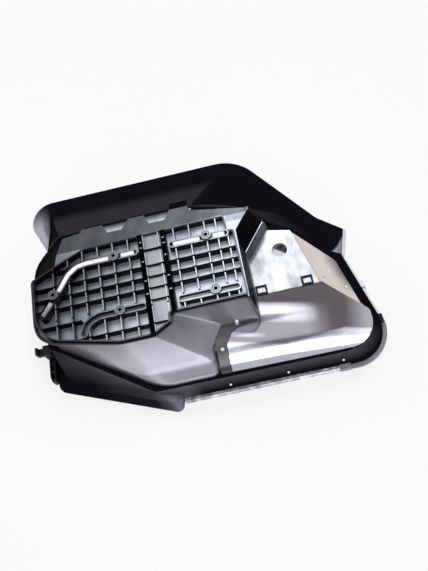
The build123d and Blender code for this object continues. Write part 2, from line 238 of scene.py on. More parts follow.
def either(*masks):
    total = masks[0]
    for mask in masks[1:]:
        total = total + mask
    return total.clamped()


def mirror_black(name, dark, low, high, roughness, painted_light=None, metallic=0.9, wave=0.2, mottle=18.0, worn=0.1,
                 shine=0.1):
    """Black moulding with flow marks that mirrors the room; given a mask of painted light, its pale colour and mirror
    strength are painted on by place: painted reflection and sheen where the mask is high, dull black where it is 0.
    """
    material, w = new_tree(name)
    where = object_place(w)
    blotch = noise(w, where, mottle, *SHELL.blotch)
    flow = flow_marks(w, where, SHELL.stretch, *SHELL.flow)
    marks = contrast(w, blotch * SHELL.blotch_share + flow * SHELL.flow_share, *SHELL.contrast)
    base = marks.blend(rgb(*low), rgb(*high))
    values = {"Metallic": metallic, "IOR": 1.45, "Specular IOR Level": shine}
    if painted_light:
        # painted light: the mask paints pale colour and mirror strength on by place
        share = painted_light(w, where)
        base = share.clamped().blend(rgb(*dark), base)
        values["Metallic"] = step(share, *SHELL.metal_from) * metallic
    rough = centred(noise(w, where, *SHELL.wear)) * worn + centred(flow) * worn + roughness
    height = blotch * wave + noise(w, where, *SHELL.grain) * SHELL.grain_height
    values.update({"Base Color": base, "Roughness": rough.clamped(), "Normal": relief(w, height)})
    cover(w, values)
    return material


# ---------------------------------------------------------------- painted light: where each moulding is painted bright or dark

# The masks below paint highlights, reflections, sheen and shade into the mouldings' colour and mirror strength, by
# place and by the way a face turns; names ending in _dull mark painted shade.
# A pair is the span over which a mask rises, in metres or, for a normal's part, from -1 to 1. Other
# names ending in _share, _gain or _dull say how much a mask counts for.

# heights, rows and columns of the tub's top
WALL_TOP, BRIDGE_TOP, RIB_TOP, RIM_TOP, COLLAR_TOP, BOSS_TOP = 0.0975, 0.0965, 0.0997, 0.1003, 0.1013, 0.1036
LONG_RIBS = (0.005, 0.003, -0.016, -0.0305, -0.0448, -0.060, -0.066, -0.0885)
CHANNELS = (-0.0505, -0.023)
MIDDLE_STRIP = -0.03675
BOSS_PLACES = [(-0.0835, 0.005), (-0.160, -0.028), (0.028, 0.005), (0.028, -0.065), (-0.0835, -0.065)]
RIB_HALF, CHANNEL_HALF, MIDDLE_HALF = 0.0010, 0.0031, 0.0110
RING_RADIUS, RING_HALF = 0.0041, 0.0004
BEVEL_START, BEVEL_FALL = 0.027, 0.33

DECK = SimpleNamespace(
    facing_up=(0.5, 0.8), to_right=(-0.17, 0.05), to_near=(-0.02, 0.09), channel_depth=(0.0880, 0.0885),
    steep=(0.45, 0.70), crown=(BOSS_TOP, 0.1038), right_gain=0.80, near_gain=0.14, least=0.22, rim_dull=0.8,
    cross_gain=-0.05, collar_gain=0.30, top_share=0.8, side_share=0.2, ring_dull=0.8, crown_dull=0.35,
    strip_dull=0.42)
BEVEL = SimpleNamespace(
    behind=(0.0262, 0.0272), end_x=(0.0530, 0.0536), end_y=(0.0065, 0.0075), notch_drop=(0.0025, 0.0035),
    to_right=(-0.14, 0.03), to_end=(0.030, 0.044), end_slope=0.3, right_gain=0.24, end_gain=0.22, least=0.14,
    chute=(0.046, 0.060), chute_share=1.2)
RIGHT_END = SimpleNamespace(
    face=(0.0622, 0.0626), below_bevel=(0.1040, 0.1045), below_top=(0.0968, 0.0972), point=(0.069, -0.008),
    slope=(0.7913, 0.6114), ledge_half=0.0004, ledge_top=0.065, ledge_thick=0.0006, foot=(0.0600, 0.0625),
    foot_share=0.30)
PLATE = SimpleNamespace(facing_up=(0.55, 0.85), hole=(0.109, -0.0065), hole_radius=0.0094, bore=(0.0420, 0.0430))
NEAR_WALL = SimpleNamespace(
    to_right=(-0.19, -0.09), right_gain=0.6, left_share=0.4, high=(0.060, 0.098), low_gain=0.5, high_share=0.5,
    crease=(0.0535, 0.0575), below_dull=0.45, edge=(0.0962, 0.0972), edge_dull=0.85, gain=1.15)
TROUGH = SimpleNamespace(to_left=(0.008, 0.045), left_dull=0.75)
FILLER = SimpleNamespace(to_right=(-0.06, 0.0), right_gain=0.75, least=0.22)
LIP_FLANK = SimpleNamespace(
    point=(-0.176, 0.072), slope=(-0.981, 0.193), outward=(-0.003, 0.014), starts=(0.060, 0.078),
    ends=(0.125, 0.165), low=(0.022, 0.034), share=0.8)
LIP_END = SimpleNamespace(
    point=(0.177, -0.008), slope=(0.816, 0.578), outward=(-0.001, 0.001), right=(0.165, 0.168),
    far=(0.014, 0.018), near=(-0.0165, -0.0155))
NEAR_SKIRT = SimpleNamespace(facing_near=(0.30, 0.75), starts=(-0.15, -0.06), ends=(-0.035, -0.015), share=0.10)
FLANGE = SimpleNamespace(
    slope=0.35, starts=(-0.128, -0.104), ends=(-0.0430, -0.0415), low=(0.014, 0.020), near=(0.12, 0.14), share=0.30)
FAR_WALL = SimpleNamespace(
    edge_height=0.088, edge_y=0.057, fall=0.92, recess_drop=(0.0006, 0.0010), recess_y=(0.0575, 0.0585),
    facing_far=(0.20, 0.50), facing_right=(0.20, 0.60), behind=(0.0, 0.02), high=(0.016, 0.045),
    to_right=(0.05, 0.13), right_dull=0.7, facet=(0.10, 0.40), facet_gain=0.035, least=0.035)
HEM = SimpleNamespace(facing_near=(0.20, 0.60), near=(-0.09, -0.06), high=(0.016, 0.040), share=0.11)
PANEL = SimpleNamespace(
    skew=0.2385, far=(-0.060, -0.050), bar=(-0.080, -0.071), bar_starts=(0.050, 0.072), bar_ends=(0.100, 0.137),
    bar_share=0.34, edge_span=(0.090, 0.160), edge_shift=0.022, edge_at=0.112, near=(-0.004, 0.007),
    near_share=0.90, line_at=-0.0965, line_half=0.0015, line_soft=0.002, line_share=0.2, far_share=0.12,
    far_ends=(0.120, 0.150), end_slope=0.2, end=(0.186, 0.210), end_share=0.12, least=0.050)


def reach_from(x, y, place):
    """Distance in plan from a place."""
    across, along = x - place[0], y - place[1]
    return (across * across + along * along).root()


def ring_at(x, y, place):
    """Thin turned groove round a boss."""
    return near_line(reach_from(x, y, place), RING_RADIUS, RING_HALF)


def past_line(x, y, point, slope):
    """Distance past a slanting line, in metres."""
    return (x - point[0]) * slope[0] - (y - point[1]) * slope[1]


def floors_painted_light(x, y, z, top, facing_far):
    """The deck's painted light: floors painted brighter to the right and towards the near side, with painted shade on
    its long ribs, channels, rim, near-facing steep sides, boss rings and crowns and the middle strip.
    """
    floor = step(x, *DECK.to_right) * DECK.right_gain + step(y * -1, *DECK.to_near) * DECK.near_gain + DECK.least
    rib_height = between(z, WALL_TOP, RIB_TOP, rise=5 * HAIR)
    rim_height = between(z, RIB_TOP, RIM_TOP)
    long_ribs = either(*[near_line(y, row, RIB_HALF) for row in LONG_RIBS]) * rib_height
    columns = either(*[near_line(x, column, CHANNEL_HALF) for column in CHANNELS])
    bridges = near_line(z, BRIDGE_TOP, 2 * HAIR, HAIR)
    channels = columns * step(z, *DECK.channel_depth) * (1 - bridges)
    # painted shade: long ribs, channels, rim and near-facing steep sides are painted dark
    dull = either(long_ribs, channels, rim_height * DECK.rim_dull, step(facing_far * -1, *DECK.steep))
    collars = between(z, RIM_TOP, COLLAR_TOP, rise=2 * HAIR, fall=3 * HAIR)
    cross = rib_height * DECK.cross_gain - collars * DECK.collar_gain
    crown = step(z, *DECK.crown)
    rings = either(*[ring_at(x, y, place) for place in BOSS_PLACES]) * crown
    strip = near_line(x, MIDDLE_STRIP, MIDDLE_HALF) * near_line(z, BRIDGE_TOP, 4 * HAIR)
    deck = (floor + cross) * (1 - dull) * (top * DECK.top_share + DECK.side_share)
    return deck * (1 - rings * DECK.ring_dull) * (1 - crown * DECK.crown_dull) * (1 - strip * DECK.strip_dull)


def bevel_painted_light(x, y, z, top):
    """Painted light on the sloping band behind the deck, brighter to the right and towards its end, with painted
    highlight in the chutes of its notches.
    """
    drop = WALL_TOP - (y - BEVEL_START) * BEVEL_FALL - z
    notch = step(drop, *BEVEL.notch_drop)
    band = step(x, *BEVEL.to_right) * BEVEL.right_gain
    band = band + step(x - y * BEVEL.end_slope, *BEVEL.to_end) * BEVEL.end_gain + BEVEL.least
    chute = (1 - step(y, *BEVEL.chute)) * BEVEL.chute_share
    return (notch * (chute - band) + band) * top


def deck_painted_light(w, where):
    """Painted light on the tub's top: deck, then the band behind it, then the right end in painted shade, with a
    painted highlight on its ledge and pale painted sheen at its foot.
    """
    x, y, z = axes_of(w, where)
    _, facing_far, facing_up = normal_axes(w)
    top = step(facing_up, *DECK.facing_up)
    deck = floors_painted_light(x, y, z, top, facing_far)
    behind = either(step(y, *BEVEL.behind), step(x, *BEVEL.end_x) * step(y, *BEVEL.end_y))
    upper = behind * (bevel_painted_light(x, y, z, top) - deck) + deck
    right = step(x, *RIGHT_END.face) * (1 - step(z + y * BEVEL_FALL, *RIGHT_END.below_bevel))
    right = right * (1 - step(z, *RIGHT_END.below_top))
    across = past_line(x, y, RIGHT_END.point, RIGHT_END.slope)
    ledge = near_line(across, RIGHT_END.ledge_half, RIGHT_END.ledge_half)
    ledge = ledge * near_line(z, RIGHT_END.ledge_top, RIGHT_END.ledge_thick)
    foot = (1 - step(z, *RIGHT_END.foot)) * RIGHT_END.foot_share
    return right * (either(ledge, foot) - upper) + upper


def plate_painted_light(w, where):
    """Painted reflection on the top of the cover plate and on the hole's collar below its edge; the plate's other
    edges are left dull black.
    """
    x, y, z = axes_of(w, where)
    facing_up = normal_axes(w)[2]
    outside = step(reach_from(x, y, PLATE.hole), PLATE.hole_radius, PLATE.hole_radius + 3 * HAIR)
    bore = (1 - outside) * (1 - step(z, *PLATE.bore))
    return either(step(facing_up, *PLATE.facing_up), bore)


def wall_painted_light(w, where):
    """Painted sheen on the tub's near wall: brightest low in the middle and to the right, with painted shade below the
    crease and along its top edge.
    """
    x, _, z = axes_of(w, where)
    side = step(x, *NEAR_WALL.to_right) * NEAR_WALL.right_gain + NEAR_WALL.left_share
    low = (1 - step(z, *NEAR_WALL.high)) * NEAR_WALL.low_gain + NEAR_WALL.high_share
    below = (1 - step(z, *NEAR_WALL.crease)) * NEAR_WALL.below_dull
    edge = step(z, *NEAR_WALL.edge) * NEAR_WALL.edge_dull
    return side * low * (1 - below) * (1 - edge) * NEAR_WALL.gain


def trough_painted_light(w, where):
    """A trough's painted light: brightest at its right end, fading to painted shade towards the near side."""
    y = axes_of(w, where)[1]
    return 1 - step(y * -1, *TROUGH.to_left) * TROUGH.left_dull


def filler_painted_light(w, where):
    """The right slot's filler is painted brighter and more mirror-like than the left one's."""
    x = axes_of(w, where)[0]
    return step(x, *FILLER.to_right) * FILLER.right_gain + FILLER.least


def frame_painted_light(w, where):
    """Painted light on the frame: painted sheen on the lip's left flank and near skirt, a painted highlight on the
    lip's end, painted sheen on the flange, the far wall and the hem, with painted shade in the far wall's recesses.
    """
    x, y, z = axes_of(w, where)
    facing_right, facing_far, _ = normal_axes(w)
    flank = step(past_line(x, y, LIP_FLANK.point, LIP_FLANK.slope), *LIP_FLANK.outward)
    flank = flank * step(y, *LIP_FLANK.starts) * (1 - step(y, *LIP_FLANK.ends))
    flank = flank * (1 - step(z, *LIP_FLANK.low)) * LIP_FLANK.share
    end = step(past_line(x, y, LIP_END.point, LIP_END.slope), *LIP_END.outward) * step(x, *LIP_END.right)
    end = end * (1 - step(y, *LIP_END.far)) * step(y, *LIP_END.near)
    skirt = step(facing_far * -1, *NEAR_SKIRT.facing_near) * step(x, *NEAR_SKIRT.starts)
    skirt = skirt * (1 - step(x, *NEAR_SKIRT.ends)) * NEAR_SKIRT.share
    flange = step(x + y * FLANGE.slope, *FLANGE.starts) * (1 - step(x, *FLANGE.ends))
    flange = flange * (1 - step(z, *FLANGE.low)) * step(y * -1, *FLANGE.near) * FLANGE.share
    depth = FAR_WALL.edge_height - (y - FAR_WALL.edge_y) * FAR_WALL.fall - z
    # painted shade: the far wall's recesses get no sheen
    recess = step(depth, *FAR_WALL.recess_drop) * step(y, *FAR_WALL.recess_y)
    outward = either(step(facing_far, *FAR_WALL.facing_far), step(facing_right, *FAR_WALL.facing_right))
    wall = outward * step(y, *FAR_WALL.behind) * step(z, *FAR_WALL.high) * (1 - recess)
    wall = wall * (1 - step(x, *FAR_WALL.to_right) * FAR_WALL.right_dull)
    wall = wall * (step(facing_right, *FAR_WALL.facet) * FAR_WALL.facet_gain + FAR_WALL.least)
    hem = step(facing_far * -1, *HEM.facing_near) * (1 - step(y, *HEM.near)) * step(z, *HEM.high) * HEM.share
    return either(flank, end, skirt, flange, wall, hem)


def panel_painted_light(w, where):
    """Painted reflection on the side panel: a bright near half, a soft painted highlight bar across the crown, a faint
    line, and a dull far band and right end.
    """
    x, y, _ = axes_of(w, where)
    along = y + x * PANEL.skew
    far = 1 - step(along, *PANEL.far)
    bar = far * step(along, *PANEL.bar) * step(x, *PANEL.bar_starts)
    bar = bar * (1 - step(x, *PANEL.bar_ends)) * PANEL.bar_share
    edge = step(x, *PANEL.edge_span) * PANEL.edge_shift - PANEL.edge_at
    near = (1 - step(along - edge, *PANEL.near)) * PANEL.near_share
    line = near_line(along, PANEL.line_at, PANEL.line_half, PANEL.line_soft)
    line = line * (1 - step(x, *PANEL.bar_starts)) * PANEL.line_share
    middle = far * PANEL.far_share * (1 - step(x, *PANEL.far_ends))
    middle = middle + step(x - y * PANEL.end_slope, *PANEL.end) * PANEL.end_share + PANEL.least
    return either(bar, near, line, middle)


# ---------------------------------------------------------------- finishes


def bright_metal(name, colour, roughness):
    """Metal with fine marks, for the pins."""
    material, w = new_tree(name)
    marks = noise(w, object_place(w), *PIN_MARKS)
    shaded = rgb(*(PIN_SHADE * part for part in colour))
    cover(w, {"Base Color": marks.blend(rgb(*colour), shaded), "Metallic": 1.0,
              "Roughness": centred(marks) * PIN_WEAR + roughness})
    return material


def floor_finish():
    """Beige panel, with painted shade where it meets the right wall."""
    material, w = new_tree("beige_floor")
    where = object_place(w)
    x, y, _ = axes_of(w, where)
    cloud, fine = noise(w, where, *BEIGE.cloud), noise(w, where, *BEIGE.fine)
    beige_tone = cloud.blend(rgb(*BEIGE.low), rgb(*BEIGE.high))
    past_wall = x + y * BEIGE.wall_slope - BEIGE.wall_at + centred(cloud) * BEIGE.ragged
    # painted shade on the beige floor along the right wall, with a ragged edge
    painted_shade = step(past_wall, *BEIGE.painted_shade_from) * step(y * -1, *BEIGE.painted_shade_starts)
    painted_shade = painted_shade * (1 - step(y * -1, *BEIGE.painted_shade_ends)) * BEIGE.painted_shade_depth
    cover(w, {"Base Color": painted_shade.blend(beige_tone, rgb(*BEIGE.painted_shade)), "IOR": 1.45, "Specular IOR Level": 0.4,
              "Roughness": centred(fine) * BEIGE.wear + BEIGE.roughness,
              "Normal": relief(w, cloud * BEIGE.cloud_height + fine * BEIGE.fine_height)})
    return material


def make_finishes():
    """Every finish by name. Mirror blacks: dull colour, then the two bright ones, then the roughness; where a mirror
    black takes a mask of painted light, its two bright colours are painted reflection and sheen.
    """
    return {
        "frame": mirror_black("frame_black", (0.006, 0.006, 0.009), (0.39, 0.39, 0.47), (0.46, 0.46, 0.55), 0.50,
                              frame_painted_light, metallic=0.8, wave=0.02, shine=0.0),
        "wall": mirror_black("wall_black", (0.02, 0.02, 0.025), (0.40, 0.40, 0.46), (0.46, 0.46, 0.52), 0.34,
                             wall_painted_light, wave=0.10, mottle=7.0, worn=0.04),
        "deck": mirror_black("deck_black", (0.002, 0.002, 0.003), (0.50, 0.54, 0.68), (0.90, 0.94, 1.0), 0.44,
                             deck_painted_light, shine=0.02),
        "plate": mirror_black("plate_black", (0.004, 0.004, 0.006), (0.15, 0.165, 0.19), (0.50, 0.51, 0.53), 0.22,
                              plate_painted_light, wave=0.3),
        # the panel's dull colour is brownish: a painted reflection of brown surroundings
        "panel": mirror_black("panel_black", (0.038, 0.026, 0.027), (0.80, 0.80, 0.98), (0.88, 0.88, 1.0), 0.14,
                              panel_painted_light, wave=0.05, mottle=6.0, worn=0.02),
        "insert": mirror_black("insert_grey", (0.03, 0.03, 0.035), (0.50, 0.51, 0.55), (0.80, 0.81, 0.85), 0.40,
                               filler_painted_light, metallic=0.7, wave=0.05),
        "silver": mirror_black("silver_trim", (0.01, 0.01, 0.012), (0.30, 0.31, 0.35), (0.95, 0.96, 1.0), 0.25,
                               wave=0.6, mottle=70.0),
        "glint": mirror_black("glint_silver", (0.01, 0.01, 0.012), (0.80, 0.81, 0.84), (0.98, 0.98, 1.0), 0.42,
                              trough_painted_light, metallic=0.7, wave=0.05, mottle=12.0),
        "beige": floor_finish(),
        "grey": plastic("grey_trim", (0.16, 0.165, 0.18), (0.24, 0.245, 0.26), 0.35, 1.5, grain=0.03, worn=0.1),
        "strip": plastic("strip_black", (0.020, 0.020, 0.026), (0.035, 0.035, 0.042), 0.30, 1.6, grain=0.02, worn=0.1),
        "dark": plastic("dark_trim", (0.006, 0.006, 0.008), (0.012, 0.012, 0.015), 0.45, 1.5, grain=0.03, worn=0.1,
                        shine=0.15),
        "liner": plastic("gap_black", (0.004, 0.004, 0.005), (0.008, 0.008, 0.010), 0.60, 1.4, grain=0.03, shine=0.1),
        "white": plastic("bright_trim", (0.62, 0.63, 0.66), (0.85, 0.86, 0.88), 0.28, 1.6, wave=0.2, streak=0.2),
        "metal": bright_metal("bright_pin", (0.85, 0.85, 0.87), 0.2),
    }


NODE_FINISHES = {
    "outer_frame": "frame", "near_shell": "wall", "ribbed_tub": "deck", "cover_plate": "plate",
    "floor_panel": "beige", "side_shell": "panel", "parting_strip": "strip", "near_rim_strip": "silver",
    "corner_rim_strip": "grey", "right_rail": "white", "rim_end_block": "grey", "corner_cap": "dark",
    "rail_clip": "white", "hood_end_strip": "white", "hook_clip": "dark", "foot_bracket": "dark",
    "slot_inserts": "insert", "rim_pins": "metal", "trim_pins": "metal", "floor_pins": "metal",
}


def finish_nodes(finish):
    for name, finish_name in NODE_FINISHES.items():
        for slot in nodes[name].material_slots:
            slot.material = finish[finish_name]


# ---------------------------------------------------------------- added pieces


def mm(*values):
    return tuple(value / 1000.0 for value in values)


def add_piece(name, verts, faces, material, slot, smooth=True):
    """Mesh piece from millimetre points, riding on the housing."""
    mesh = bpy.data.meshes.new(name)
    mesh.from_pydata([mm(*v) for v in verts], [], faces)
    mesh.validate()
    for polygon in mesh.polygons:
        polygon.use_smooth = smooth
    mesh.materials.append(material)
    piece = bpy.data.objects.new(name, mesh)
    bpy.context.scene.collection.objects.link(piece)
    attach(piece, "root")
    return piece


def slab(name, outline, z0, z1, material, slot):
    """Flat plate over an outline, given counter-clockwise."""
    n = len(outline)
    verts = [(x, y, z0) for x, y in outline] + [(x, y, z1) for x, y in outline]
    faces = [tuple(reversed(range(n))), tuple(range(n, 2 * n))]
    faces += [(i, (i + 1) % n, n + (i + 1) % n, n + i) for i in range(n)]
    return add_piece(name, verts, faces, material, slot, smooth=False)


def lathe(profile, place, axis, steps=20):
    """Points and faces of a turned form: profile of (radius, height) pairs, from its foot to its crown."""
    turn = Vector((0, 0, 1)).rotation_difference(Vector(axis)).to_matrix()
    verts = []
    for radius, height in profile:
        for k in range(steps):
            angle = 2 * math.pi * k / steps
            spot = turn @ Vector((radius * math.cos(angle), radius * math.sin(angle), height)) + Vector(place)
            verts.append(tuple(spot))
    return verts, tube_faces(len(profile), steps)


def tube_faces(rings, size):
    """Faces of a closed tube of equal rings of points, with its two ends."""
    faces = []
    for ring in range(rings - 1):
        for k in range(size):
            a, b = ring * size + k, ring * size + (k + 1) % size
            faces.append((a, b, b + size, a + size))
    last = (rings - 1) * size
    return faces + [tuple(reversed(range(size))), tuple(range(last, last + size))]


def sweep(run, section, end_height=1.0):
    """Points and faces of a section carried along a run; the section is (out to the run's right, height)."""
    verts = []
    for k, (x, y) in enumerate(run):
        (ax, ay), (bx, by) = run[max(0, k - 1)], run[min(len(run) - 1, k + 1)]
        length = math.hypot(bx - ax, by - ay)
        out = ((ay - by) / length, (bx - ax) / length)
        height = end_height if k in (0, len(run) - 1) else 1.0
        verts += [(x + out[0] * u, y + out[1] * u, z * height) for u, z in section]
    return verts, tube_faces(len(run), len(section))


def soften(piece):
    """Small round on every sharp edge."""
    edges = piece.modifiers.new("edges", "BEVEL")
    edges.width, edges.segments = 0.0004, 2


def gather(shapes):
    verts, faces = [], []
    for some_verts, some_faces in shapes:
        start = len(verts)
        verts += some_verts
        faces += [tuple(start + i for i in face) for face in some_faces]
    return verts, faces


# middle lines of the two far slots, and the section of the trough that lies in them
SLOT_TRACKS = {
    "far_left": [(-59, 5), (-118, 5), (-130, 3), (-141, -5), (-152, -21), (-175, -51)],
    "far_right": [(-13, 4), (50, 3)],
}
TROUGH_SECTION = [(2.9, 100.2), (2.6, 99.2), (1.5, 98.7), (0, 98.5), (-1.5, 98.7), (-2.6, 99.2), (-2.9, 100.2),
                  (-2.9, 96.8), (0, 96.8), (2.9, 96.8)]
TROUGH_STEP, BOSS_CLEARANCE = 2.0, 6.2


def slot_liner(name, track, material):
    """Bright trough lying in a slot, in runs between the bosses."""
    spots = []
    for (x0, y0), (x1, y1) in zip(track, track[1:]):
        count = max(1, round(math.hypot(x1 - x0, y1 - y0) / TROUGH_STEP))
        spots += [(x0 + (x1 - x0) * k / count, y0 + (y1 - y0) * k / count) for k in range(count)]
    spots.append(track[-1])
    for _ in range(3):
        spots = [spots[0]] + [tuple((a[i] + 2 * b[i] + c[i]) / 4 for i in (0, 1))
                              for a, b, c in zip(spots, spots[1:], spots[2:])] + [spots[-1]]
    bosses = [tuple(1000.0 * part for part in place) for place in BOSS_PLACES]
    runs = [[]]
    for spot in spots:
        if min(math.dist(spot, boss) for boss in bosses) >= BOSS_CLEARANCE:
            runs[-1].append(spot)
        elif runs[-1]:
            runs.append([])
    shapes = [sweep(run, TROUGH_SECTION) for run in runs if len(run) > 2]
    return add_piece(name, *gather(shapes), material, "grey_trim")


def make_slot_liners(finish):
    for name, track in SLOT_TRACKS.items():
        slot_liner("slot_liner_" + name, track, finish["glint"])


LIP_END_RUN = [(196.6, 23.0), (194.6, 16.5), (191.6, 6.0), (188.6, -4.0), (185.6, -14.5), (184.6, -18.0)]
LIP_END_SECTION = [(-1.2, 0.0), (2.4, 0.0), (2.8, 1.2), (2.4, 5.2), (1.2, 7.4), (-0.4, 7.9), (-1.2, 7.0)]


def make_lip_end(finish):
    """Moulding that closes the cut end of the flared lip and sits against it, lower at both ends; its bright trim
    colour is a painted highlight along the lip's cut end.
    """
    shape = sweep(LIP_END_RUN, LIP_END_SECTION, end_height=0.55)
    end = add_piece("lip_end_moulding", *shape, finish["white"], "grey_trim", smooth=False)
    soften(end)
    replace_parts(end, "hood_end_strip")


# plates that close the gaps under the bevel's far edge
GAP_LINERS = {
    "gap_liner_left": [(-118, 50), (-118, 59.5), (-150, 59.5), (-183, 20), (-184, 8), (-183, -1), (-156, 9),
                       (-146, 49)],
    "gap_liner_right": [(12, 47), (79, 31), (84, 34), (15, 57.5)],
}
GAP_LINER_FOOT, GAP_LINER_TOP = 82.5, 84.5


def make_gap_liners(finish):
    for name, outline in GAP_LINERS.items():
        slab(name, outline, GAP_LINER_FOOT, GAP_LINER_TOP, finish["liner"], "matte_black")


# corner points of the tub's near wall at three heights, from its left end to the mitre at its right end
WALL_LEVELS = [
    (42.0, [(-187, 4), (-187, -65), (-60, -146), (12, -146), (12, -118), (30, -92), (70, -92)]),
    (56.0, [(-188, 3), (-188, -62), (-80, -130.9), (10, -130.9), (10, -118), (22, -90), (68.8, -90)]),
    (97.5, [(-188, -1), (-188, -82), (-89, -104), (-49, -104), (-27, -92), (-26, -81.5), (63, -81.5)]),
]
WALL_RADII = [6, 34, 60, 14, 16, 10]
WALL_HEIGHTS = [40, 42, 45, 48, 51, 54, 57, 60, 64, 69, 75, 81, 87, 92, 95.5, 97.0, 97.5]
WALL_END = Vector((14, 5.2))        # from the first corner back to the wall's start
WALL_SKIN, PANEL_SKIN = 2.2, 1.6
CREASE_SOFT, CREASE_FROM, CREASE_TO = 4, 44, 93


def level_corners(z):
    """Corners at a height, on the straight lines between the levels."""
    (z0, low), (z1, high) = WALL_LEVELS[:2] if z < WALL_LEVELS[1][0] else WALL_LEVELS[1:]
    s = (z - z0) / (z1 - z0)
    return [Vector(a) + s * (Vector(b) - Vector(a)) for a, b in zip(low, high)]


def wall_corners(z):
    """Corners at a height, with the crease between the levels softened."""
    foot, top = WALL_LEVELS[0][0], WALL_LEVELS[-1][0]
    shifts = (-CREASE_SOFT, 0, CREASE_SOFT) if CREASE_FROM < z < CREASE_TO else (0,)
    rows = [level_corners(min(top, max(foot, z + shift))) for shift in shifts]
    return [sum(spots, Vector((0, 0))) / len(rows) for spots in zip(*rows)]


MOST_OF_HALF = 0.46     # a rounding takes at most this share of a side


def soft_run(corners, radii, start, arc=9, runs=5):
    """Points along a run of corners, each rounded by its radius."""
    spots, last = [], start
    for k, radius in enumerate(radii):
        before = corners[k] - (corners[k - 1] if k else start)
        after = corners[k + 1] - corners[k]
        turn = before.angle(after)
        reach = min(radius * math.tan(turn / 2), MOST_OF_HALF * before.length, MOST_OF_HALF * after.length)
        first, final = corners[k] - before.normalized() * reach, corners[k] + after.normalized() * reach
        spots += [last.lerp(first, i / runs) for i in range(runs)]
        for i in range(arc):
            t = i / arc
            spots.append(first * (1 - t) ** 2 + corners[k] * 2 * t * (1 - t) + final * t * t)
        last = final
    spots += [last.lerp(corners[-1], i / (2 * runs)) for i in range(2 * runs + 1)]
    return spots


def make_near_wall(finish):
    """Smooth satin wall round the tub's left end and near side."""
    verts, faces = [], []
    for z in WALL_HEIGHTS:
        corners = wall_corners(z)
        ring = soft_run(corners, WALL_RADII, corners[0] + WALL_END)
        verts += [(spot.x, spot.y, z) for spot in ring]
    n = len(ring)
    for row in range(len(WALL_HEIGHTS) - 1):
        faces += [(row * n + i, row * n + i + 1, (row + 1) * n + i + 1, (row + 1) * n + i) for i in range(n - 1)]
    wall = add_piece("near_wall", verts, faces, finish["wall"], "satin_black")
    thicken(wall, WALL_SKIN)
    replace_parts(wall, "near_shell")


def thicken(piece, thickness):
    solid = piece.modifiers.new("thickness", "SOLIDIFY")
    solid.thickness, solid.offset = thickness / 1000.0, -1.0
    solid.use_quality_normals = True


# the side panel: its crown as (y, height) pairs, its limits, corners and parting edge
CROWN = [(-156, 36), (-150, 44), (-146, 48.5), (-138, 53.75), (-125, 56.6), (-112, 57.0), (-98, 55.4), (-84, 51.25),
         (-70, 46.9), (-60, 45.3), (-52, 45.0), (-40, 45.0)]
CROWN_FALL, CROWN_START, CROWN_MELT = 0.0629, -10, 16.0
FLAT_HEIGHT, FLAT_END, FLAT_DROP, PANEL_SETTLE = 45.0, -134, 0.02, 0.4
PANEL_LEFT, PANEL_RIGHT, PANEL_NEAR, PANEL_FAR = 12, 194, -146, -59.5
PANEL_COLUMNS, PANEL_ROWS = 70, 40
FAR_CORNER, FAR_CORNER_OUT = (149, -59.5), (47.5, 45)
NEAR_ROUND = dict(centre=(164, -116), radius=30, start=-math.pi / 2, sweep=math.pi / 2, parts=9)
RIGHT_ROUND = dict(centre=(182, -111.5), radius=12, start=0.0, sweep=math.radians(46.5), parts=4)
TUB_SIDE_X, TUB_SIDE_Y = 69.3, -91.0
PARTING_START, PARTING_RUN = (12, -117), (18, 26)
SKIRT_FOOT, TRIM_DEPTH = 40.2, 2.5


def panel_height(x, y):
    """Top of the side shell: a crown that melts into a flat towards the far end."""
    k = max(i for i in range(1, len(CROWN) - 2) if CROWN[i][0] <= y)
    (ya, za), (y0, z0), (y1, z1), (yb, zb) = CROWN[k - 1:k + 3]
    gap, t = y1 - y0, (y - y0) / (y1 - y0)
    rise0, rise1 = (z1 - za) / (y1 - ya) * gap, (zb - z0) / (yb - y0) * gap
    crown = (z0 * (2 * t ** 3 - 3 * t ** 2 + 1) + rise0 * (t ** 3 - 2 * t ** 2 + t)
             + z1 * (3 * t ** 2 - 2 * t ** 3) + rise1 * (t ** 3 - t ** 2))
    crown -= CROWN_FALL * (x - CROWN_START)
    flat = FLAT_HEIGHT - max(0.0, FLAT_END - y) ** 2 * FLAT_DROP
    return (crown + flat + math.sqrt((crown - flat) ** 2 + CROWN_MELT)) / 2 - PANEL_SETTLE


def cut(shape, point, out, clear):
    """Cuts a flat mesh along the line through a point; clear takes away what lies outwards."""
    parts = shape.verts[:] + shape.edges[:] + shape.faces[:]
    bmesh.ops.bisect_plane(shape, geom=parts, plane_co=(*point, 0), plane_no=(*out, 0), clear_outer=clear)


def round_corner(shape, centre, radius, start, sweep, parts):
    for k in range(1, parts):
        angle = start + k * sweep / parts
        out = (math.cos(angle), math.sin(angle))
        cut(shape, (centre[0] + radius * out[0], centre[1] + radius * out[1]), out, True)


def inside_parting(face):
    """True for a face that lies under the tub's wall or past the parting edge."""
    x, y, _ = face.calc_center_median()
    (x0, y0), (run, rise) = PARTING_START, PARTING_RUN
    return x < TUB_SIDE_X and (y > TUB_SIDE_Y or y - y0 > (x - x0) * rise / run)


def ordered(faces):
    """Faces each from their lowest point and in a fixed order, because cutting leaves them in any order."""
    starts = [face.index(min(face)) for face in faces]
    return sorted(face[start:] + face[:start] for face, start in zip(faces, starts))


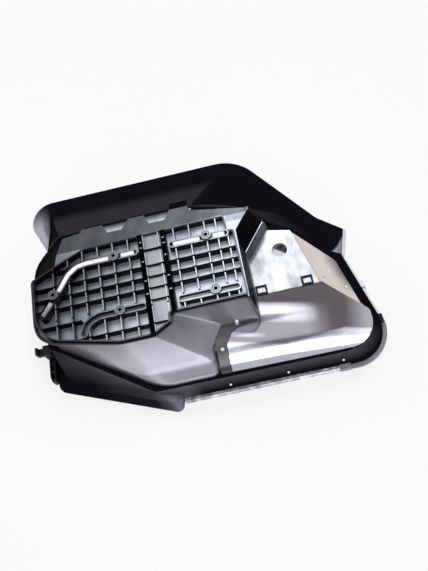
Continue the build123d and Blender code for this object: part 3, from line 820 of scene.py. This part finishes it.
def panel_blank():
    """Flat sheet cut to the panel's outline."""
    columns = [PANEL_LEFT + (PANEL_RIGHT - PANEL_LEFT) * i / PANEL_COLUMNS for i in range(PANEL_COLUMNS + 1)]
    rows = [PANEL_NEAR + (PANEL_FAR - PANEL_NEAR) * i / PANEL_ROWS for i in range(PANEL_ROWS + 1)]
    shape = bmesh.new()
    grid = [[shape.verts.new((x, y, 0)) for x in columns] for y in rows]
    for near, far in zip(grid, grid[1:]):
        for c in range(PANEL_COLUMNS):
            shape.faces.new((near[c], near[c + 1], far[c + 1], far[c]))
    cut(shape, FAR_CORNER, FAR_CORNER_OUT, True)
    round_corner(shape, **NEAR_ROUND)
    round_corner(shape, **RIGHT_ROUND)
    cut(shape, (TUB_SIDE_X, 0), (1, 0), False)
    cut(shape, (0, TUB_SIDE_Y), (0, 1), False)
    cut(shape, PARTING_START, (-PARTING_RUN[1], PARTING_RUN[0]), False)
    bmesh.ops.delete(shape, geom=[face for face in shape.faces if inside_parting(face)], context="FACES")
    return shape


def make_side_panel(finish):
    """Glossy crowned panel, cut to its outline and turned down at its edge."""
    shape = panel_blank()
    for vert in shape.verts:
        vert.co.z = panel_height(vert.co.x, vert.co.y)
    rim = [edge for edge in shape.edges if edge.is_boundary]
    for part in bmesh.ops.extrude_edge_only(shape, edges=rim)["geom"]:
        if isinstance(part, bmesh.types.BMVert):
            under_trim = part.co.x < TUB_SIDE_X + 0.2 and part.co.y > PARTING_START[1] - 1
            part.co.z = part.co.z - TRIM_DEPTH if under_trim else SKIRT_FOOT
    bmesh.ops.recalc_face_normals(shape, faces=shape.faces[:])
    if sum(face.normal.z for face in shape.faces) < 0:
        bmesh.ops.reverse_faces(shape, faces=shape.faces[:])
    shape.verts.index_update()
    verts = [tuple(vert.co) for vert in shape.verts]
    faces = ordered([tuple(vert.index for vert in face.verts) for face in shape.faces])
    shape.free()
    panel = add_piece("side_panel", verts, faces, finish["panel"], "gloss_black")
    panel.data.set_sharp_from_angle(angle=math.radians(50))
    thicken(panel, PANEL_SKIN)
    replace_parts(panel, "side_shell")


LOOP_MIDDLES = (77.0, 132.5)
LOOP_FOOT, LOOP_TOP = 45.0, 47.0
LOOP_OUTER = (7, -60.5, -48)        # half width, near and far edge
LOOP_INNER = (4.6, -58.2, -50.4)


def make_snap_loops(finish):
    """Flat loops that hold the panel to the cover plate's catches."""
    shapes = []
    for middle in LOOP_MIDDLES:
        outline = []
        for half, near, far in (LOOP_OUTER, LOOP_INNER):
            outline += [(middle - half, near), (middle + half, near), (middle + half, far), (middle - half, far)]
        verts = [(x, y, z) for z in (LOOP_FOOT, LOOP_TOP) for x, y in outline]
        faces = []
        for k in range(4):
            m = (k + 1) % 4
            faces += [(8 + k, 8 + m, 12 + m, 12 + k), (k, 4 + k, 4 + m, m), (k, m, 8 + m, 8 + k),
                      (4 + m, 4 + k, 12 + k, 12 + m)]
        shapes.append((verts, faces))
    soften(add_piece("snap_loops", *gather(shapes), finish["dark"], "gloss_black", smooth=False))


PIN_HEAD = [(1.75, 0), (1.8, 0.5), (1.6, 1.0), (1.15, 1.4), (0.6, 1.6), (0.25, 1.62)]
PIN_SETS = {
    "near_pin_heads": ("rim_pins", [(18, -153.1, 24), (87, -153.1, 24), (152, -153.1, 26)], (0, -1, 0.25)),
    "floor_pin_heads": ("floor_pins", [(154, -52, 42), (175, -72, 42)], (0, 0, 1)),
}


def make_pins(finish):
    """Round heads in the near rim and in the beige floor."""
    for name, (old, places, axis) in PIN_SETS.items():
        heads = gather([lathe(PIN_HEAD, place, axis) for place in places])
        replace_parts(add_piece(name, *heads, finish["metal"], "bright_pin"), old)


# ---------------------------------------------------------------- stage and light


FLOOR_GLOW = 0.62                       # share of plain white that the camera and mirrors see in the floor
AIR_LEVEL, AIR_SEEN = 0.30, 0.15        # light from the room, and how much more of it shows


def picture_rays(w):
    """1 for the camera and for what glossy and clear things show, 0 for light that falls on things."""
    seen, glossy, through = [w.node("ShaderNodeLightPath", out=ray) for ray in (CAMERA_RAY, GLOSSY_RAY, THROUGH_RAY)]
    return (seen + glossy + through).clamped()


def make_floor():
    bpy.ops.mesh.primitive_plane_add(size=12.0, location=(0, 0, 0))
    floor = bpy.context.object
    floor.name = "studio_floor"
    material, w = new_tree("studio_floor")
    share = picture_rays(w) * FLOOR_GLOW
    diffuse = w.node("ShaderNodeBsdfDiffuse", None, {"Color": rgb(0.95, 0.95, 0.96)})
    glow = w.node("ShaderNodeEmission", None, {"Color": rgb(1, 1, 1), "Strength": 1.0})
    mixed = w.node("ShaderNodeMixShader", None, {0: share, 1: diffuse, 2: glow})
    w.node("ShaderNodeOutputMaterial", None, {"Surface": mixed})
    floor.data.materials.append(material)


def make_world():
    world = bpy.data.worlds.new("studio_air")
    bpy.context.scene.world = world
    world.use_nodes = True
    world.node_tree.nodes.clear()
    w = Wire(world.node_tree)
    level = picture_rays(w) * AIR_SEEN + AIR_LEVEL
    air = w.node("ShaderNodeBackground", None, {"Color": rgb(0.96, 0.97, 1.0), "Strength": level})
    w.node("ShaderNodeOutputWorld", None, {"Surface": air})


def softbox(name, direction, distance, width, height, watts, colour=(1, 1, 1), aim=(0, 0, 0.05)):
    """Rectangular lamp in the given direction from the object, facing it."""
    data = bpy.data.lights.new(name, "AREA")
    data.shape = "RECTANGLE"
    data.size, data.size_y = width, height
    data.energy = watts
    data.color = colour
    lamp = bpy.data.objects.new(name, data)
    bpy.context.scene.collection.objects.link(lamp)
    place = Vector(aim) + Vector(direction).normalized() * distance
    lamp.location = place
    lamp.rotation_euler = (place - Vector(aim)).to_track_quat("Z", "Y").to_euler()


# direction from the object, distance, width, height, watts, colour
LAMPS = {
    "key_right": ((0.20, 0.42, 0.88), 1.6, 1.0, 0.9, 7.0, (0.97, 0.98, 1.0)),
    "key_left": ((-0.50, 0.45, 0.75), 1.6, 0.7, 0.8, 1.6, (0.97, 0.98, 1.0)),
    "top_strip": ((0.10, -0.30, 0.95), 1.5, 0.95, 0.70, 10.0),
    "front_low": ((-0.12, -0.99, 0.12), 1.8, 2.2, 0.5, 8.0, (0.96, 0.95, 1.0)),
    "left_back": ((-0.80, 0.50, 0.36), 1.8, 0.8, 0.6, 5.0),
}


def make_lights():
    for name, lamp in LAMPS.items():
        softbox(name, *lamp)


make_camera()
make_floor()
make_world()
make_lights()
finish = make_finishes()
finish_nodes(finish)
make_slot_liners(finish)
make_gap_liners(finish)
make_lip_end(finish)
make_pins(finish)
make_near_wall(finish)
make_side_panel(finish)
make_snap_loops(finish)

bpy.context.scene.view_settings.view_transform = "Standard"
